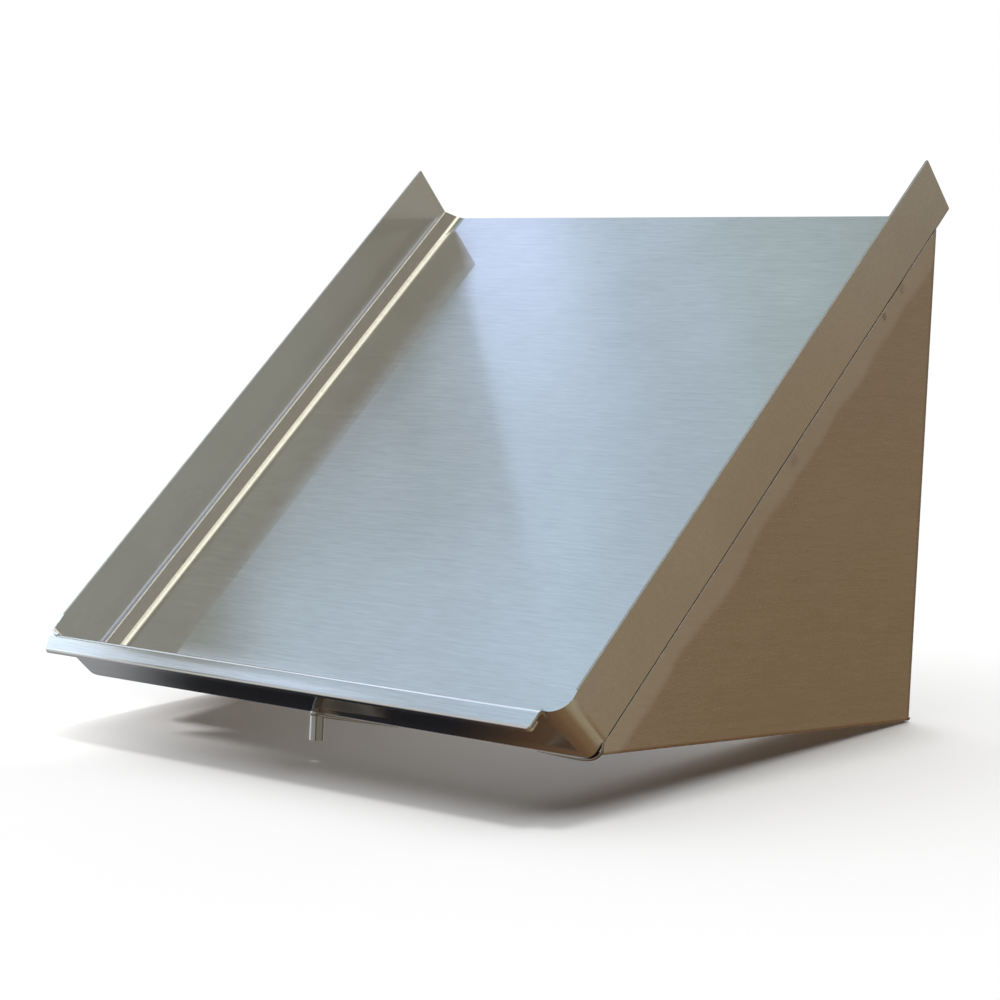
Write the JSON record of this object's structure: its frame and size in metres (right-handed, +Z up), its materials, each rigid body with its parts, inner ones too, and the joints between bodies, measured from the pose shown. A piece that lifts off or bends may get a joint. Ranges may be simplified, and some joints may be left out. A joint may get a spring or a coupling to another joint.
{
  "type": "sloped slide tray",
  "caption": "Stainless-steel sheet tray sloping down at 45 degrees between low side walls to a rimmed front wall, on triangular folded wall brackets, with a short drain stub under its low edge.",
  "frame": {"origin": "on the plane of the brackets' rear faces, midway between the brackets, level with their lower faces", "axes": "+Z up, +Y to the rear into what the part is fixed to, +X across the width to the right as seen from the front"},
  "size_m": [0.534, 0.4509, 0.4563],
  "materials": {
    "pan_steel": "brushed across the width",
    "stub_steel": "smooth drawn tube",
    "bracket_steel": "brushed, dressed beside the seam"
  },
  "bodies": {
    "root": {"pan": "pan_steel", "drain_stub": "stub_steel", "bracket_left": "bracket_steel", "bracket_right": "bracket_steel"}
  },
  "joints": []
}
